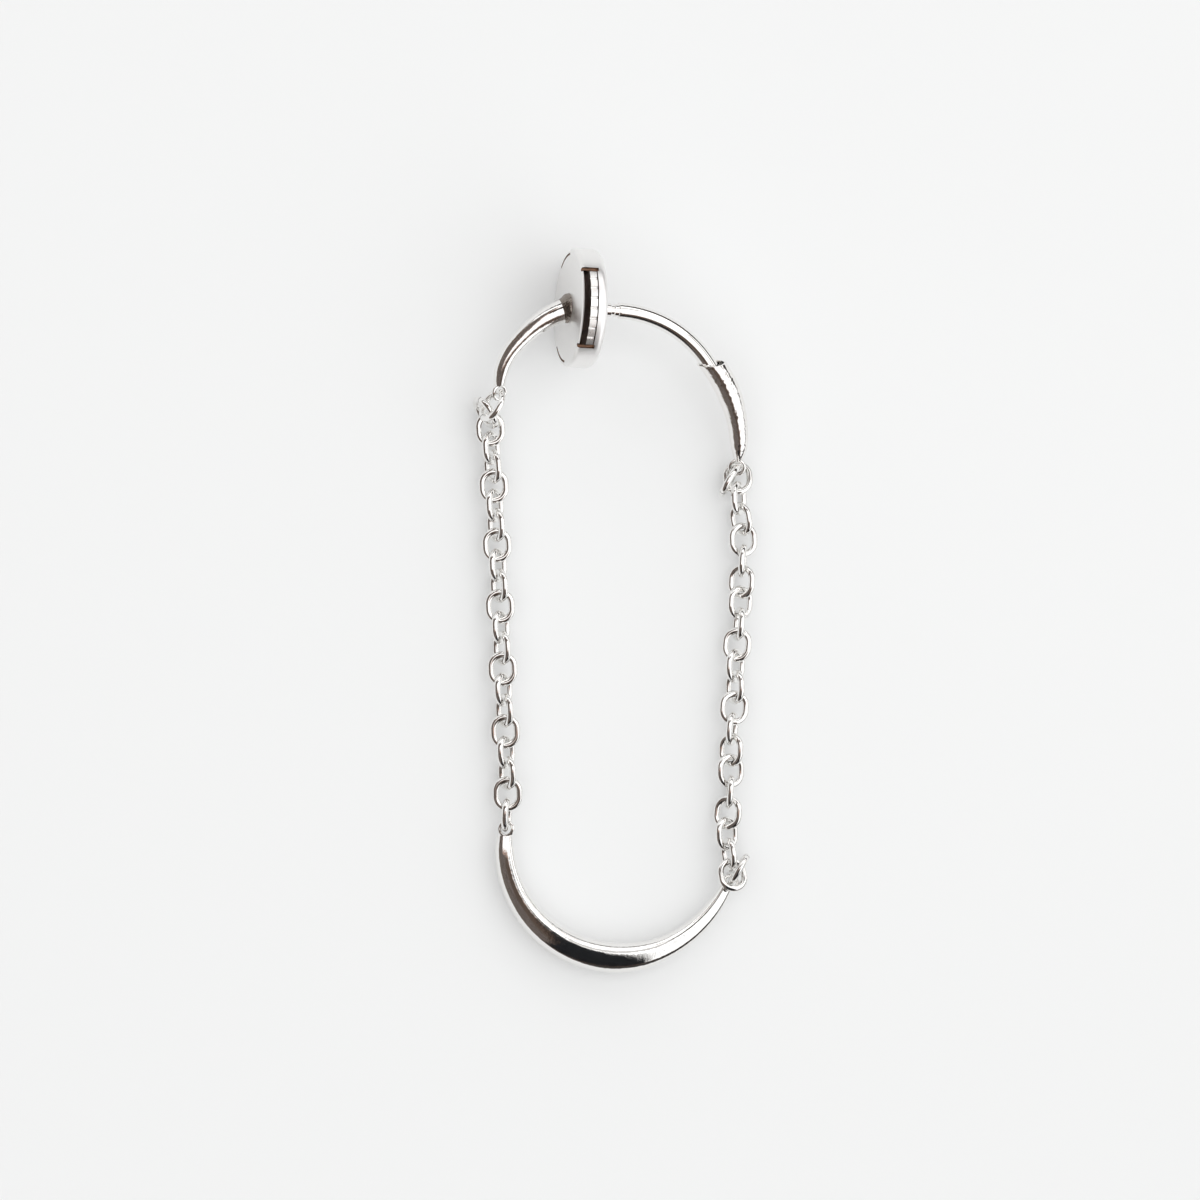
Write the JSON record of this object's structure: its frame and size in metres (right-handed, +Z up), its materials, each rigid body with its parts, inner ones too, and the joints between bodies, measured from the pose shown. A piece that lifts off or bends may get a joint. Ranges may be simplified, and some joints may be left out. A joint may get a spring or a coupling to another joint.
{
  "type": "ear chain earring",
  "caption": "Ear chain earring: a hooked ear wire in a round push-button clutch, two cable chains and a crescent bar, lying flat in a long loop.",
  "frame": {"origin": "on the surface that the earring lies on, under the middle of its outline", "axes": "+Z up off the surface, +Y from the crescent bar towards the clutch, +X from the left chain to the right chain"},
  "size_m": [0.0206, 0.0507, 0.0083],
  "materials": {
    "ear_wire": "polished rhodium-plated silver",
    "clutch": "polished rhodium-plated silver",
    "buttons": "polished rhodium-plated silver",
    "crescent_bar": "polished rhodium-plated silver",
    "jump_rings": "polished rhodium-plated silver",
    "chain": "polished rhodium-plated silver"
  },
  "bodies": {
    "earring": {"ear_wire": "ear_wire", "clutch": "clutch", "crescent_bar": "crescent_bar", "upper_ring": "jump_rings", "second_ring": "jump_rings", "sleeve_ring": "jump_rings", "bar_ring": "jump_rings", "left_link_1": "chain", "left_link_2": "chain", "left_link_3": "chain", "left_link_4": "chain", "left_link_5": "chain", "left_link_6": "chain", "left_link_7": "chain", "left_link_8": "chain", "left_link_9": "chain", "left_link_10": "chain", "left_link_11": "chain", "left_link_12": "chain", "left_link_13": "chain", "left_link_14": "chain", "left_link_15": "chain", "left_link_16": "chain", "left_link_17": "chain", "left_link_18": "chain", "left_link_19": "chain", "left_link_20": "chain", "right_link_1": "chain", "right_link_2": "chain", "right_link_3": "chain", "right_link_4": "chain", "right_link_5": "chain", "right_link_6": "chain", "right_link_7": "chain", "right_link_8": "chain", "right_link_9": "chain", "right_link_10": "chain", "right_link_11": "chain", "right_link_12": "chain", "right_link_13": "chain", "right_link_14": "chain", "right_link_15": "chain", "right_link_16": "chain", "right_link_17": "chain", "right_link_18": "chain", "right_link_19": "chain", "right_link_20": "chain"},
    "upper_button": {"upper_button": "buttons"},
    "lower_button": {"lower_button": "buttons"}
  },
  "joints": [
    {"name": "upper_button_press", "type": "slide", "parent": "earring", "child": "upper_button", "axis": [0, 0, -1], "range_m": [0, 0.0004], "stiffness_N_per_m": 200},
    {"name": "lower_button_press", "type": "slide", "parent": "earring", "child": "lower_button", "axis": [0, 0, 1], "range_m": [0, 0.0004], "stiffness_N_per_m": 200}
  ]
}
